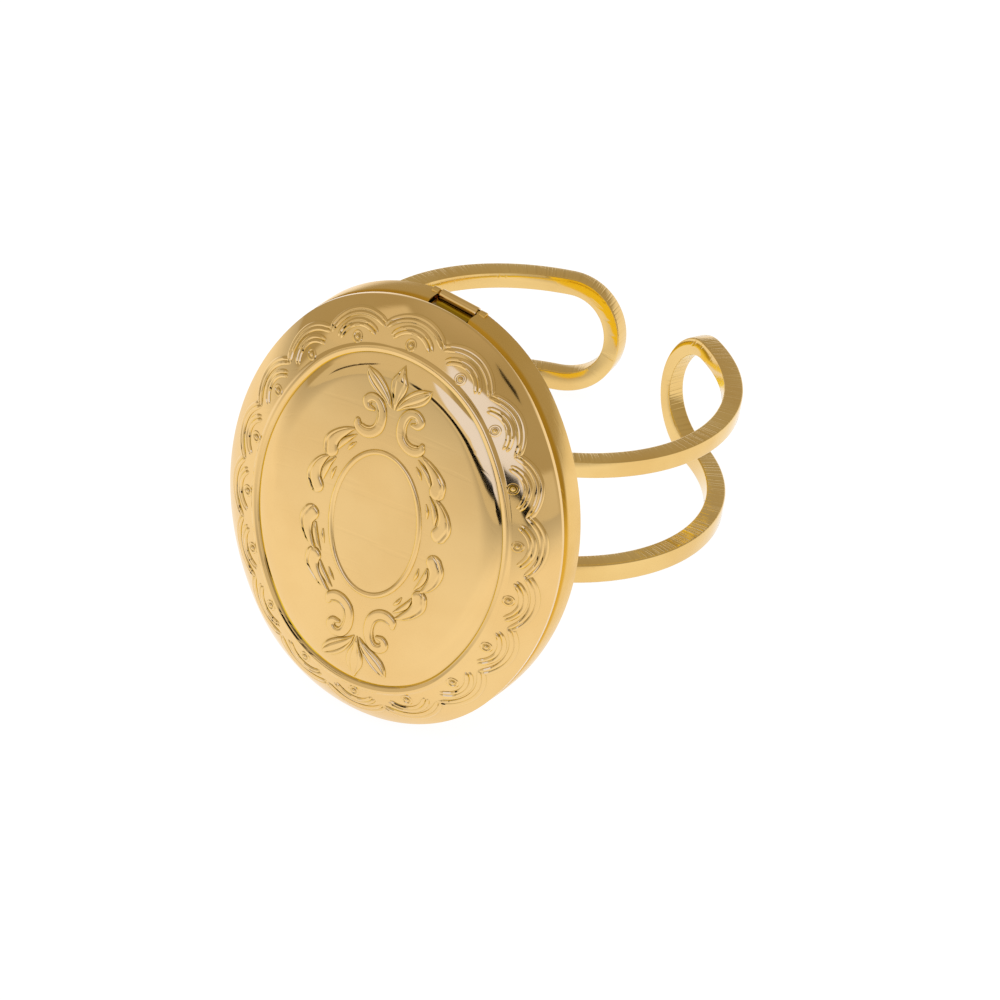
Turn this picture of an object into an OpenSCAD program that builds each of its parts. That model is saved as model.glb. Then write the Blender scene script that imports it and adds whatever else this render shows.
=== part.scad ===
// Adjustable open ring whose head is an oval hinged locket with a cast front cover.
// A long slotted band is bent round the finger and soldered to the locket's back shell.
// Everything is drawn round the finger: X across it, Y from the locket to the open back, Z along
// it. The module resting() then lays the ring down as it comes to rest on a table.

/* [Band] */
// Inside diameter of the band, as it sits on the finger
finger_d = 17.6; // [15:0.1:21]
// Radial thickness of the band
band_t = 0.95; // [0.8:0.05:1.3]
// Width of the whole band along the finger
band_w = 6.7; // [5.5:0.1:8]
// Width of each of its two parallel bars
bar_w = 0.95; // [0.8:0.05:1.4]
// Open space between the two looped ends at the back, along the curve
band_gap = 3.1; // [1:0.1:8]
// How far the open space is turned round from straight behind the locket
band_turn = 4.4; // [-10:0.1:10]
// How far the band is soldered below the middle of the locket
band_drop = 0.8; // [0:0.05:1]

/* [Locket] */
// Length of the oval along the finger
locket_l = 23; // [21:0.1:25]
// Width of the oval
locket_w = 18.7; // [18:0.1:19.2]
// Thickness of the stamped shells
shell_t = 0.5; // [0.4:0.05:0.6]
// Depth of the back shell's domed back
back_depth = 2.7; // [2.4:0.05:3]
// Height of the back shell's upright wall
wall_h = 1.35; // [1.2:0.05:1.6]
// Slit between the back shell's wall and the cover
slit = 0.2; // [0.1:0.05:0.3]
// Height of the cover's upright edge
edge_h = 0.25; // [0.2:0.05:0.4]
// Height of the cover's middle above that edge
cover_rise = 1.97; // [1.9:0.01:2.05]

/* [Relief] */
// Height of the cast ornament above the face it lies on
relief_h = 0.16; // [0.1:0.01:0.2]
// Scallops in each quarter of the border, besides the ones at its two ends
quarter_scallops = 4; // [3:5]
// Distance from the rim to the row of dots
dot_in = 1.76; // [1.7:0.01:1.8]
// Radius of a dot
dot_r = 0.28; // [0.22:0.01:0.32]
// Length of the plain oval field in the middle
field_l = 7.74; // [7.4:0.02:8]
// Width of that field
field_w = 4.86; // [4.6:0.02:5]

/* [Hinge] */
// Length of the knuckle on the cover
knuckle_l = 2.1; // [1.8:0.1:2.4]
// Radius of that knuckle
knuckle_r = 0.29; // [0.27:0.01:0.3]
// Radius of the pin
pin_r = 0.13; // [0.11:0.01:0.14]
// Depth of the pin's axis below the cover's underside
pin_below = 1.35; // [1.32:0.01:1.38]
// Distance of the pin's axis inside the end of the oval
pin_inside = 0.2; // [0.18:0.01:0.22]
// How far the hinge is turned round the end of the oval, clockwise as the face is seen
hinge_turn = 5.8; // [-8:0.1:8]

/* [Rest] */
// Lean of the ring, back from standing on its side
rest_tilt = 19.4; // [0:0.05:30]
// Roll to one side, as it rests on the locket and on the two looped ends
rest_roll = 1.55; // [-5:0.05:5]

/* [Hidden] */
$fn = 96;
eps = 0.01;
// Longer than any half of the ring
far = 20;
gold = [0.91, 0.75, 0.46];
deep_gold = [0.85, 0.62, 0.22];

// Band: radii, bars, and the turn from the back to the middle of a looped end
band_in = finger_d / 2;
band_out = band_in + band_t;
half_w = band_w / 2;
slot_half = half_w - bar_w;
loop_turn = (band_gap / 2 + half_w) / band_out * 180 / PI;

// Oval of four arcs: two end arcs centred on Y, two side arcs centred on X. The line through
// the centres, on which an end arc and a side arc meet, makes a 3-4-5 triangle with the axes.
half_l = locket_l / 2;
half_b = locket_w / 2;
end_c = (half_l - half_b) * 3 / 2;
side_c = end_c * 4 / 3;
end_r = half_l - end_c;
side_r = half_b + side_c;
join_turn = atan2(end_c, side_c);

// Heights in the locket, from the finger's axis towards the face
solder = 0.25;
back_z = band_out - solder;
wall_z = back_z + back_depth;
lip_z = wall_z + wall_h;
under_z = lip_z + slit;
edge_z = under_z + edge_h;

// Cover profile: convex border, bead, shoulder and a field that is flat from field_flat on
border_r = 3.17;
border_c = [-2.69, -1.68];
bead_r = 0.3;
bead_c = [-2.25, 1.28];
shoulder_r = 1.87;
shoulder_in = 2.45;
field_in = 3.6;
field_flat = min(8.2, end_r);
field_r = 64;
field_c = [-field_flat, cover_rise - field_r];
field_lean = asin((field_flat - field_in) / field_r);
shoulder_c = field_c + (field_r - shoulder_r) * [sin(field_lean), cos(field_lean)];
cover_hollow_h = 0.99;
cover_hollow_top = 1.42;
relief_root = 0.12;

// Back shell profile: convex edge, then a dome tangent to it, flat from field_flat on
back_r = 4.2;
back_c = [-3.44, 2.41];
dome_h = back_depth + back_c[1];
dome_run = field_flat + back_c[0];
dome_r = (pow(dome_run, 2) + pow(dome_h, 2) - pow(back_r, 2)) / (2 * (dome_h - back_r));
dome_c = [-field_flat, dome_r - back_depth];
dome_lean = atan2(dome_run, dome_r - dome_h);

// Lip inside the cover, and the ring that joins it to the wall
lip_h = 0.38;
lip_t = 0.35;
lip_gap = 0.1;
lip_foot = 0.5;

// Length of the solder under each bar
pad_l = 4.4;

// Hinge
pin_y = half_l - pin_inside;
pin_z = under_z - pin_below;
knuckle_gap = 0.1;
side_knuckle_l = 0.4;
side_knuckle_r = 0.24;
pin_play = 0.04;
pin_fit = 0.01;
pin_end = 0.1;
pin_l = knuckle_l + 2 * (knuckle_gap + side_knuckle_l - pin_end);
leaf_w = 1.8;
leaf_t = 0.25;
leaf_y = half_l - shell_t - 0.05;
notch_y = half_l - shell_t - lip_gap - lip_t - 0.1;

// Scallop lines: centre from the dot, radius, width, half the angle that it spans
SCALLOP_LINES = [[-0.84, 2, 0.3, 54], [-0.64, 1.33, 0.26, 62]];
dot_end_l = (end_r - dot_in) * (90 - join_turn) * PI / 180;
dot_side_l = (side_r - dot_in) * join_turn * PI / 180;
scallop_step = (dot_end_l + dot_side_l) / (quarter_scallops + 0.5);

// Scrollwork of one quarter. Bands: centre x, centre y, radius, width, first and last angle
BANDS = [
    [1.25, 5.4, 0.8, 0.5, 75, 290],
    [1.6, 4.95, 0.62, 0.34, 215, 325],
    [0.5, 2.05, 2.6, 0.62, 22, 60],
    [0.2, 1.1, 3.3, 0.7, -8, 22],
];
// Heads of the scrolls: x, y, radius
HEADS = [[1.38, 6.12, 0.42], [1.85, 4.68, 0.24], [2.95, 2.85, 0.45], [3.42, 0.58, 0.5]];
// Leaves: x and y of the foot, x and y of the tip, half width
LEAVES = [[0, 6.9, 0, 8.4, 0.46], [0.1, 6.2, 1.5, 7.75, 0.34], [0.75, 6.8, 1.6, 7.1, 0.22]];

// Place and outward turn on the curve d inside the rim, s along it from its upper end
function end_l(d) = (end_r - d) * (90 - join_turn) * PI / 180;
function end_at(turn, d) = [(end_r - d) * sin(turn), end_c + (end_r - d) * cos(turn), 90 - turn];
function side_at(turn, d) = [(side_r - d) * cos(turn) - side_c, (side_r - d) * sin(turn), turn];
function rim_at(s, d) =
    s < end_l(d)
        ? end_at(s / (end_r - d) * 180 / PI, d)
        : side_at(join_turn - (s - end_l(d)) / (side_r - d) * 180 / PI, d);

// Upward direction of the table in the ring's own frame, and the height that sets it on the table
up = [
    -cos(rest_tilt) * sin(rest_roll),
    -sin(rest_tilt),
    cos(rest_tilt) * cos(rest_roll)
];
rest_z = end_r * norm([up[0], up[2]]) + end_c * up[2] + wall_z * up[1];
rest_y = 4.1;

// Lays what is drawn round the finger down on the table
module resting() {
    translate([0, rest_y, rest_z])
        rotate([-rest_tilt, 0, 0])
            rotate([0, rest_roll, 0])
                children();
}

// Turns what is drawn face up, with heights from the finger's axis, to the front of the ring
module to_front() {
    rotate([90, 0, 0])
        children();
}

// Turns a profile round the upright axis. The profile's x is minus its distance inside the rim,
// and what lies further in than reach is left out.
module turned(radius, reach) {
    rotate_extrude()
        intersection() {
            translate([radius, 0])
                children();
            translate([radius - reach, -far])
                square([reach + 1, 2 * far]);
        }
}

// Sweeps a profile round the oval, arc by arc
module oval_sweep() {
    run = far * 4 / 5;
    rise = far * 3 / 5;
    for (side = [0, 1])
        mirror([side, 0, 0])
            intersection() {
                translate([-side_c, 0, 0])
                    turned(side_r, half_b + 1)
                        children();
                linear_extrude(2 * far, center = true)
                    polygon([[0, end_c], [0, -end_c], [run, -end_c - rise], [run, end_c + rise]]);
            }
    for (end = [0, 1])
        mirror([0, end, 0])
            intersection() {
                translate([0, end_c, 0])
                    turned(end_r, end_r)
                        children();
                linear_extrude(2 * far, center = true)
                    polygon([[0, end_c], [run, end_c + rise], [-run, end_c + rise]]);
            }
}

// Part of a profile between two distances inside the rim
module between(near, deep) {
    intersection() {
        children();
        translate([-deep, -far])
            square([deep - near, 2 * far]);
    }
}

// Profile of the cover's outside, down to the underside of its edge
module cover_profile() {
    intersection() {
        union() {
            between(0, shoulder_in)
                translate(border_c)
                    circle(border_r);
            translate(bead_c)
                circle(bead_r);
            between(shoulder_in, field_in)
                translate(shoulder_c)
                    circle(shoulder_r);
            between(field_in, field_flat)
                translate(field_c)
                    circle(field_r, $fn = 720);
            between(field_flat, far)
                translate([-far, -far])
                    square([far, far + cover_rise]);
            translate([-far, -edge_h])
                square([far, edge_h]);
        }
        translate([-far, -edge_h])
            square([far, far]);
    }
}

// Profile of the hollow behind the cover
module cover_hollow_profile() {
    intersection() {
        translate(border_c)
            circle(border_r - shell_t);
        translate([border_c[0], -far])
            square([-border_c[0] - shell_t, 2 * far]);
    }
    translate([-far, -far])
        square([far + border_c[0], far + cover_hollow_h]);
    translate([-far, 0])
        square([far - field_in, cover_hollow_top]);
}

// Profile of the back shell's outside, moved in by t, with heights from the wall's back edge
module shell_profile(t) {
    turn_in = field_flat - (dome_r - t) * sin(dome_lean);
    between(t, far)
        translate([-far, 0])
            square([far, wall_h + t]);
    intersection() {
        union() {
            between(t, turn_in)
                translate(back_c)
                    circle(back_r - t);
            between(turn_in, field_flat)
                translate(dome_c)
                    circle(dome_r - t, $fn = 360);
            between(field_flat, far)
                translate([-far, t - back_depth])
                    square([far, far]);
        }
        translate([-far, -far])
            square([far, far]);
    }
}

// Profile of the lip that stands up inside the cover, and of its foot inside the wall
module lip_profile() {
    translate([-shell_t - lip_gap - lip_t, wall_h - lip_foot])
        square([lip_t, lip_foot + lip_h]);
    translate([-shell_t - lip_gap - lip_t, wall_h - lip_foot])
        square([lip_t + lip_gap + eps, lip_foot]);
}

// Line along part of a circle, cut from the whole ring by a fan of four equal turns
module band(radius, width, first, last) {
    turns = 4;
    reach = 3 * radius;
    step = (last - first) / turns;
    intersection() {
        difference() {
            circle(radius + width / 2);
            circle(radius - width / 2);
        }
        polygon(concat(
            [[0, 0]],
            [for (i = [0:turns]) reach * [cos(first + i * step), sin(first + i * step)]]
        ));
    }
}

// Pointed leaf from foot to tip
module leaf(foot, tip, half_width) {
    length = norm(tip - foot);
    radius = (pow(length / 2, 2) + pow(half_width, 2)) / (2 * half_width);
    translate((foot + tip) / 2)
        rotate(atan2(tip[1] - foot[1], tip[0] - foot[0]))
            intersection_for (side = [-1, 1])
                translate([0, side * (radius - half_width)])
                    circle(radius);
}

// One scallop: two lines round a dot, drawn with its outward direction along X
module scallop() {
    for (line = SCALLOP_LINES)
        translate([line[0], 0])
            band(line[1], line[2], -line[3], line[3]);
    circle(dot_r);
}

// All scallops round the border
module scallops() {
    for (end = [0, 1], side = [0, 1], i = [0:quarter_scallops]) {
        spot = rim_at(i * scallop_step, dot_in);
        if (i > 0 || side == 0)
            mirror([0, end])
                mirror([side, 0])
                    translate([spot[0], spot[1]])
                        rotate(spot[2])
                            scallop();
    }
}

// Scrollwork round the plain middle field, the same in all four quarters
module scrollwork() {
    for (end = [0, 1], side = [0, 1])
        mirror([0, end])
            mirror([side, 0]) {
                for (b = BANDS)
                    translate([b[0], b[1]])
                        band(b[2], b[3], b[4], b[5]);
                for (h = HEADS)
                    translate([h[0], h[1]])
                        circle(h[2]);
                for (l = LEAVES)
                    leaf([l[0], l[1]], [l[2], l[3]], l[4]);
            }
    scale([field_w / field_l, 1])
        circle(field_l / 2);
}

// Cast ornament, raised along the cover's own curve and rooted in its wall
module relief() {
    intersection() {
        translate([0, 0, edge_z])
            oval_sweep()
                difference() {
                    translate([0, relief_h])
                        cover_profile();
                    translate([0, -relief_root])
                        cover_profile();
                }
        translate([0, 0, edge_z])
            linear_extrude(2 * cover_rise) {
                scallops();
                scrollwork();
            }
    }
}

// Turns what is drawn at the very end of the oval round the end arc, to the hinge's place
module at_hinge() {
    translate([0, end_c, 0])
        rotate(-hinge_turn)
            translate([0, -end_c, 0])
                children();
}

// Cylinder round the pin's axis, over a length centred on the hinge
module barrel(radius, length) {
    at_hinge()
        translate([0, pin_y, pin_z])
            rotate([0, 90, 0])
                cylinder(r = radius, h = length, center = true);
}

// Leaf that carries the cover's knuckle through the notch in the back shell
module hinge_leaf() {
    at_hinge()
        translate([-leaf_w / 2, leaf_y, pin_z])
            cube([leaf_w, leaf_t, edge_z - pin_z]);
}

// Closed cover, face up
module cover_in_place() {
    difference() {
        union() {
            translate([0, 0, edge_z])
                oval_sweep()
                    difference() {
                        cover_profile();
                        cover_hollow_profile();
                    }
            relief();
            barrel(knuckle_r, knuckle_l);
            hinge_leaf();
        }
        barrel(pin_r + pin_play, knuckle_l + 1);
    }
}

// Notch for the cover's knuckle and leaf
module knuckle_notch() {
    width = knuckle_l + 2 * knuckle_gap;
    barrel(knuckle_r + knuckle_gap, width);
    at_hinge()
        translate([-width / 2, notch_y, pin_z])
            cube([width, far, far]);
}

// Back shell with its lip and the two side knuckles, face up
module back_shell() {
    difference() {
        union() {
            translate([0, 0, wall_z])
                oval_sweep() {
                    difference() {
                        shell_profile(0);
                        shell_profile(shell_t);
                    }
                    lip_profile();
                }
            difference() {
                barrel(side_knuckle_r, knuckle_l + 2 * (knuckle_gap + side_knuckle_l));
                barrel(side_knuckle_r + eps, knuckle_l + 2 * knuckle_gap);
            }
        }
        knuckle_notch();
        barrel(pin_r + pin_fit, pin_l);
    }
}

// Bar of stadium section that runs along the radius through the middle of the right looped end.
// Its round side points to the open back and its square side reaches to the front.
module loop_bar(half_width) {
    rotate([0, 0, 90 - loop_turn])
        rotate([90, 0, 90])
            linear_extrude(4 * far, center = true) {
                circle(half_width);
                translate([-2 * far, -half_width])
                    square([2 * far, 2 * half_width]);
            }
}

// Right half of the slotted band, from straight in front to its looped end
module half_band() {
    intersection() {
        difference() {
            cylinder(r = band_out, h = 2 * band_w, center = true, $fn = 180);
            cylinder(r = band_in, h = 3 * band_w, center = true, $fn = 180);
        }
        difference() {
            loop_bar(half_w);
            loop_bar(slot_half);
        }
        translate([0, -2 * far, -2 * far])
            cube([4 * far, 4 * far, 4 * far]);
    }
}

// Slotted band: two parallel bars that end in a loop at each side of the gap
module band_ring() {
    for (side = [0, 1])
        mirror([side, 0, 0])
            half_band();
}

// Solder that fills the joint between each bar and the domed back
module solder_pads() {
    for (end = [-1, 1])
        intersection() {
            translate([0, 0, end * (half_w - bar_w / 2) - band_drop])
                cube([pad_l, 2 * far, bar_w], center = true);
            translate([-far, -(back_z + shell_t), -far])
                cube([2 * far, shell_t + solder, 2 * far]);
            difference() {
                cylinder(r = far, h = 2 * far, center = true);
                cylinder(r = band_in + band_t / 2, h = 3 * far, center = true, $fn = 180);
            }
        }
}

module band_and_back_shell() {
    color(gold)
        resting() {
            translate([0, 0, -band_drop])
                rotate([0, 0, -band_turn])
                    band_ring();
            to_front()
                back_shell();
            solder_pads();
        }
}

module front_cover() {
    color(gold)
        resting()
            to_front()
                cover_in_place();
}

module hinge_pin() {
    color(deep_gold)
        resting()
            to_front()
                barrel(pin_r, pin_l - 2 * pin_fit);
}

band_and_back_shell();
front_cover();
hinge_pin();
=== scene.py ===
"""Adjustable open ring with an oval hinged locket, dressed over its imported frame.

Sizes are millimetres in the locket's own frame: x across the finger, y along it towards the
hinge, z from the finger's axis towards the face. Placement turns them into the resting pose, in
metres.
"""
import logging
import math
from dataclasses import dataclass, field
from enum import Enum
from itertools import product
from typing import Sequence

import bmesh
import bpy
import numpy as np
from mathutils import Matrix, Vector


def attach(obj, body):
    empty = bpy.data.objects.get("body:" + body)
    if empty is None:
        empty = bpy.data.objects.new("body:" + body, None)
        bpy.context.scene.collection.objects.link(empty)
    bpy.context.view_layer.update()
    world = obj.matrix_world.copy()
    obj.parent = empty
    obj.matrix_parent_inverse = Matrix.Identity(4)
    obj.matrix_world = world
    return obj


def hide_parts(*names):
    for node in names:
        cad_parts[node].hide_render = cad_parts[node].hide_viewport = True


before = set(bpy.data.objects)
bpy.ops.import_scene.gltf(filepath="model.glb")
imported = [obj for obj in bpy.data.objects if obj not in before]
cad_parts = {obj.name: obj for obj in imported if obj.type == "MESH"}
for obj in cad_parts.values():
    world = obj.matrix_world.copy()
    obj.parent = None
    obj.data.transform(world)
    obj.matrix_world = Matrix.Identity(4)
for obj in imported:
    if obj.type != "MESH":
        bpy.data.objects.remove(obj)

log = logging.getLogger("open_ring")

MM = 0.001
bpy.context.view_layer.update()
SHARP = math.radians(35)
TINY = 1e-9
Array = np.ndarray
Object = bpy.types.Object
Material = bpy.types.Material
Socket = bpy.types.NodeSocket
Pair = tuple[float, float]
Triple = tuple[float, float, float]
Span = tuple[float, float, int]
MeshData = tuple[Array, list]


class Body(Enum):
    """Bodies of the frame that the pieces ride on."""

    RING = "ring"
    COVER = "cover"


class Slot(Enum):
    """Material slots of the record."""

    PLATE = "gold_plate"
    CAST = "cast_gold_plate"
    PIN = "pin_gold"


@dataclass(frozen=True)
class Oval:
    """Plan of the locket: two end arcs and two side arcs that meet on a 3-4-5 triangle."""

    length: float = 23.0
    width: float = 18.7

    @property
    def end_c(self) -> float:
        """Distance of the end arcs' centres from the middle."""
        return (self.length - self.width) / 2 * 1.5

    @property
    def side_c(self) -> float:
        """Distance of the side arcs' centres from the middle."""
        return self.end_c * 4 / 3

    @property
    def end_r(self) -> float:
        """Radius of the end arcs."""
        return self.length / 2 - self.end_c

    @property
    def side_r(self) -> float:
        """Radius of the side arcs."""
        return self.width / 2 + self.side_c

    def inside(self, x: Array, y: Array) -> tuple[Array, Array]:
        """Distance inside the rim and the outward direction.

        Args:
            x: Places across the finger.
            y: Places along the finger.

        Returns:
            The distances, and the unit directions as rows of x and y.
        """
        ax, ay = np.abs(x), np.abs(y)
        at_end = ay - self.end_c > ax * self.end_c / self.side_c
        out = np.where(at_end, [ax, ay - self.end_c], [ax + self.side_c, ay])
        size = np.hypot(*out)
        depth = np.where(at_end, self.end_r, self.side_r) - size
        signs = np.where(np.stack([x, y]) < 0, -1.0, 1.0)
        return depth, (out / np.maximum(size, TINY) * signs).T

    def turns(self, count: int) -> Array:
        """Directions of count normals spread evenly round the rim, anticlockwise from +x."""
        join = math.atan2(self.end_c, self.side_c)
        quarter = count // 4
        side_l = self.side_r * join
        side = round(quarter * side_l / (side_l + self.end_r * (math.pi / 2 - join)))
        first = np.concatenate([
            np.linspace(0, join, side, endpoint=False),
            np.linspace(join, math.pi / 2, quarter - side, endpoint=False),
        ])
        second = math.pi - np.append(first[1:], math.pi / 2)[::-1]
        half = np.concatenate([first, second])
        return np.concatenate([half, half + math.pi])

    def at(self, turns: Array, depth: float) -> Array:
        """Points at depth inside the rim, on the normals with the given directions."""
        c, s = np.cos(turns), np.sin(turns)
        on_side = np.abs(s) < self.end_c / math.hypot(self.end_c, self.side_c) + TINY
        centre = np.where(on_side, [-self.side_c * np.sign(c), 0 * s],
                          [0 * c, self.end_c * np.sign(s)])
        radius = np.where(on_side, self.side_r, self.end_r) - depth
        return (centre + radius * np.stack([c, s])).T

    def ring_at(self, turns: Array, depth: float, height: float) -> Array:
        """The same points with one height as z."""
        return np.c_[self.at(turns, depth), np.full(len(turns), height)]


@dataclass(frozen=True)
class Placement:
    """How the ring lies on the table, on the locket's edge and the two looped ends."""

    tilt: float = math.radians(19.4)
    roll: float = math.radians(1.55)
    along: float = 4.1
    foot_z: float = 12.2
    oval: Oval = Oval()

    @property
    def matrix(self) -> Matrix:
        """Matrix from the locket's frame in millimetres to the row frame in metres."""
        turn = Matrix.Rotation(-self.tilt, 3, "X") @ Matrix.Rotation(self.roll, 3, "Y")
        up = turn.transposed() @ Vector((0, 0, 1))
        lift = (self.oval.end_r * math.hypot(up.x, up.z) + self.oval.end_c * up.z
                + self.foot_z * up.y)
        to_front = Matrix.Rotation(math.pi / 2, 4, "X")
        place = Matrix.Translation((0, self.along, lift)) @ turn.to_4x4() @ to_front
        return Matrix.Scale(MM, 4) @ place


PLACE = Placement()
OVAL = Oval()


class Nodes:
    """Short calls that fill one node tree."""

    def __init__(self, tree: bpy.types.NodeTree) -> None:
        """Keeps the tree that the calls fill."""
        self.tree = tree

    def add(self, kind: str, inputs: dict | None = None, **settings: object) -> bpy.types.Node:
        """Adds a node.

        Args:
            kind: Blender's name of the node type.
            inputs: Values, or sockets to link from, by input name or number.
            settings: Properties of the node itself.

        Returns:
            The new node.
        """
        node = self.tree.nodes.new(kind)
        for name, value in settings.items():
            setattr(node, name, value)
        for key, value in (inputs or {}).items():
            if isinstance(value, Socket):
                self.tree.links.new(value, node.inputs[key])
            else:
                node.inputs[key].default_value = value
        return node

    def math(self, operation: str, *values: object, clamp: bool = False) -> Socket:
        """Result of a Math node."""
        return self.add("ShaderNodeMath", dict(enumerate(values)), operation=operation,
                        use_clamp=clamp).outputs[0]

    def times(self, *values: object, clamp: bool = False) -> Socket:
        """Product of two values."""
        return self.math("MULTIPLY", *values, clamp=clamp)

    def ramp(self, value: Socket, low: float, high: float, start: float = 0,
             end: float = 1) -> Socket:
        """Smooth step of a value from start at low to end at high."""
        ends = {"From Min": low, "From Max": high, "To Min": start, "To Max": end}
        return self.add("ShaderNodeMapRange", {"Value": value, **ends},
                        interpolation_type="SMOOTHSTEP").outputs[0]

    def noise(self, scale: float, detail: float, place: dict, **settings: object) -> Socket:
        """Value of a noise texture at the place that the named input is linked from."""
        inputs = {**place, "Scale": scale, "Detail": detail}
        return self.add("ShaderNodeTexNoise", inputs, **settings).outputs["Fac"]

    def mix(self, share: Socket, first: object, second: object) -> Socket:
        """Mixes two colours, each a socket or three numbers."""
        ends = [c if isinstance(c, Socket) else (*c, 1) for c in (first, second)]
        return self.add("ShaderNodeMix", {0: share, 6: ends[0], 7: ends[1]},
                        data_type="RGBA").outputs[2]

    def vector(self, x: object = 0.0, y: object = 0.0, z: object = 0.0) -> Socket:
        """Vector of three numbers or sockets."""
        return self.add("ShaderNodeCombineXYZ", {0: x, 1: y, 2: z}).outputs[0]

    def shape(self, kind: str, **values: object) -> Socket:
        """First output of a geometry node; the inputs' names have _ for a space."""
        inputs = {name.replace("_", " "): value for name, value in values.items()}
        return self.add("GeometryNode" + kind, inputs).outputs[0]

    def stored(self, name: str) -> Socket:
        """Number that a mesh keeps for each point, 0 where it keeps none of that name."""
        return self.add("ShaderNodeAttribute", attribute_name=name).outputs["Fac"]


def fresh_nodes(block: Material | bpy.types.World) -> Nodes:
    """Starts the empty node tree of a material or world."""
    block.use_nodes = True
    block.node_tree.nodes.clear()
    return Nodes(block.node_tree)


def new_group(name: str, kind: str, inputs: dict,
              outputs: dict) -> tuple[Nodes, bpy.types.Node, bpy.types.Node]:
    """Starts a node group with named sockets.

    Args:
        name: Name of the group.
        kind: Blender's name of the tree type.
        inputs: Input names, each with its socket type's name and default.
        outputs: Output names, each with its socket type's name.

    Returns:
        The group's nodes, its Group Input and its Group Output.
    """
    tree = bpy.data.node_groups.new(name, kind)
    for label, (socket, default) in inputs.items():
        made = tree.interface.new_socket(label, in_out="INPUT",
                                         socket_type="NodeSocket" + socket)
        if default is not None:
            made.default_value = default
    for label, socket in outputs.items():
        tree.interface.new_socket(label, in_out="OUTPUT", socket_type="NodeSocket" + socket)
    nodes = Nodes(tree)
    return nodes, nodes.add("NodeGroupInput"), nodes.add("NodeGroupOutput")


def set_inputs(modifier: bpy.types.Modifier, values: dict) -> None:
    """Sets a Geometry Nodes modifier's inputs by the sockets' identifiers."""
    for item in modifier.node_group.interface.items_tree:
        if item.in_out == "INPUT" and item.name in values:
            modifier[item.identifier] = values[item.name]


def linked(name: str, data: bpy.types.ID) -> Object:
    """Makes an object of some data and links it to the scene."""
    obj = bpy.data.objects.new(name, data)
    bpy.context.scene.collection.objects.link(obj)
    return obj


def new_mesh(name: str, points: Array, faces: list, smooth: bool = True) -> Object:
    """Makes a mesh object from points in the locket's frame, without placing it."""
    mesh = bpy.data.meshes.new(name)
    mesh.from_pydata(np.asarray(points, float).tolist(), [], faces)
    mesh.validate()
    if smooth:
        mesh.shade_smooth()
    return linked(name, mesh)


def applied(obj: Object) -> Object:
    """Turns the object's modifiers into its plain mesh and removes them."""
    graph = bpy.context.evaluated_depsgraph_get()
    graph.update()
    mesh = bpy.data.meshes.new_from_object(obj.evaluated_get(graph))
    obj.modifiers.clear()
    old, obj.data = obj.data, mesh
    bpy.data.meshes.remove(old)
    mesh.name = obj.name
    return obj


def finish_piece(obj: Object, material: Material, body: Body, slot: Slot,
                 *nodes: str) -> None:
    """Places a piece in the row frame, dresses it and ties it to the frame.

    Args:
        obj: The piece, drawn in the locket's frame.
        material: Its only material.
        body: Body that it rides on.
        slot: Slot of the record that its material stands for; not used.
        nodes: Nodes of the frame that it replaces.
    """
    obj.data.transform(PLACE.matrix)
    obj.data.set_sharp_from_angle(angle=SHARP)
    obj.data.materials.clear()
    obj.data.materials.append(material)
    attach(obj, body.value)
    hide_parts(*nodes)
    obj.data.calc_loop_triangles()
    count = len(obj.data.loop_triangles)
    log.info("%s: %d triangles, rides on %s", obj.name, count, body.value)


def full_turn(count: int) -> Array:
    """Directions spread evenly round a circle."""
    return np.linspace(0, 2 * math.pi, count, endpoint=False)


def arc(radius: float, middle: float, places: Array) -> Array:
    """Heights of a half circle over its middle's place, 0 beside it."""
    return np.sqrt(np.maximum(radius**2 - (middle - places) ** 2, 0))


def spans(*parts: Span) -> Array:
    """Places in evenly spaced runs, each given by its first place, its last and their number."""
    return np.concatenate([np.linspace(*part) for part in parts])


def ring_faces(first: int, second: int, count: int) -> list[tuple[int, ...]]:
    """Quads between two closed rows of count points that start at the given indices."""
    return [(first + j, first + (j + 1) % count, second + (j + 1) % count, second + j)
            for j in range(count)]


def tube(rows: int, count: int, start: int = 0) -> list[tuple[int, ...]]:
    """Quads of an open tube of closed rows with count points each, numbered from start."""
    firsts = [start + k * count for k in range(rows)]
    return [quad for pair in zip(firsts, firsts[1:]) for quad in ring_faces(*pair, count)]


def capped_tube(rows: int, count: int) -> list[tuple[int, ...]]:
    """Faces of a tube of closed rows with count points each and a face at either end."""
    last = (rows - 1) * count
    return [*tube(rows, count), tuple(range(count))[::-1], tuple(range(last, last + count))]


def mesh_arrays(obj: Object) -> MeshData:
    """Points and faces of an object's mesh."""
    points = np.empty(len(obj.data.vertices) * 3)
    obj.data.vertices.foreach_get("co", points)
    return points.reshape(-1, 3), [tuple(face.vertices) for face in obj.data.polygons]


def joined(parts: Sequence[MeshData]) -> MeshData:
    """Puts several lots of points and faces, each numbered from 0, into one."""
    faces: list = []
    start = 0
    for points, more in parts:
        faces += [tuple(start + k for k in face) for face in more]
        start += len(points)
    return np.concatenate([points for points, _ in parts]), faces


def store(obj: Object, name: str, values: Array) -> None:
    """Keeps one number for each point of an object's mesh, for its material."""
    kept = obj.data.attributes.new(name, "FLOAT", "POINT")
    kept.data.foreach_set("value", np.asarray(values, np.float32))


def outward(mesh: bpy.types.Mesh) -> None:
    """Turns the closed parts of a mesh outwards."""
    work = bmesh.new()
    work.from_mesh(mesh)
    bmesh.ops.recalc_face_normals(work, faces=work.faces[:])
    work.to_mesh(mesh)
    work.free()


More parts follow.
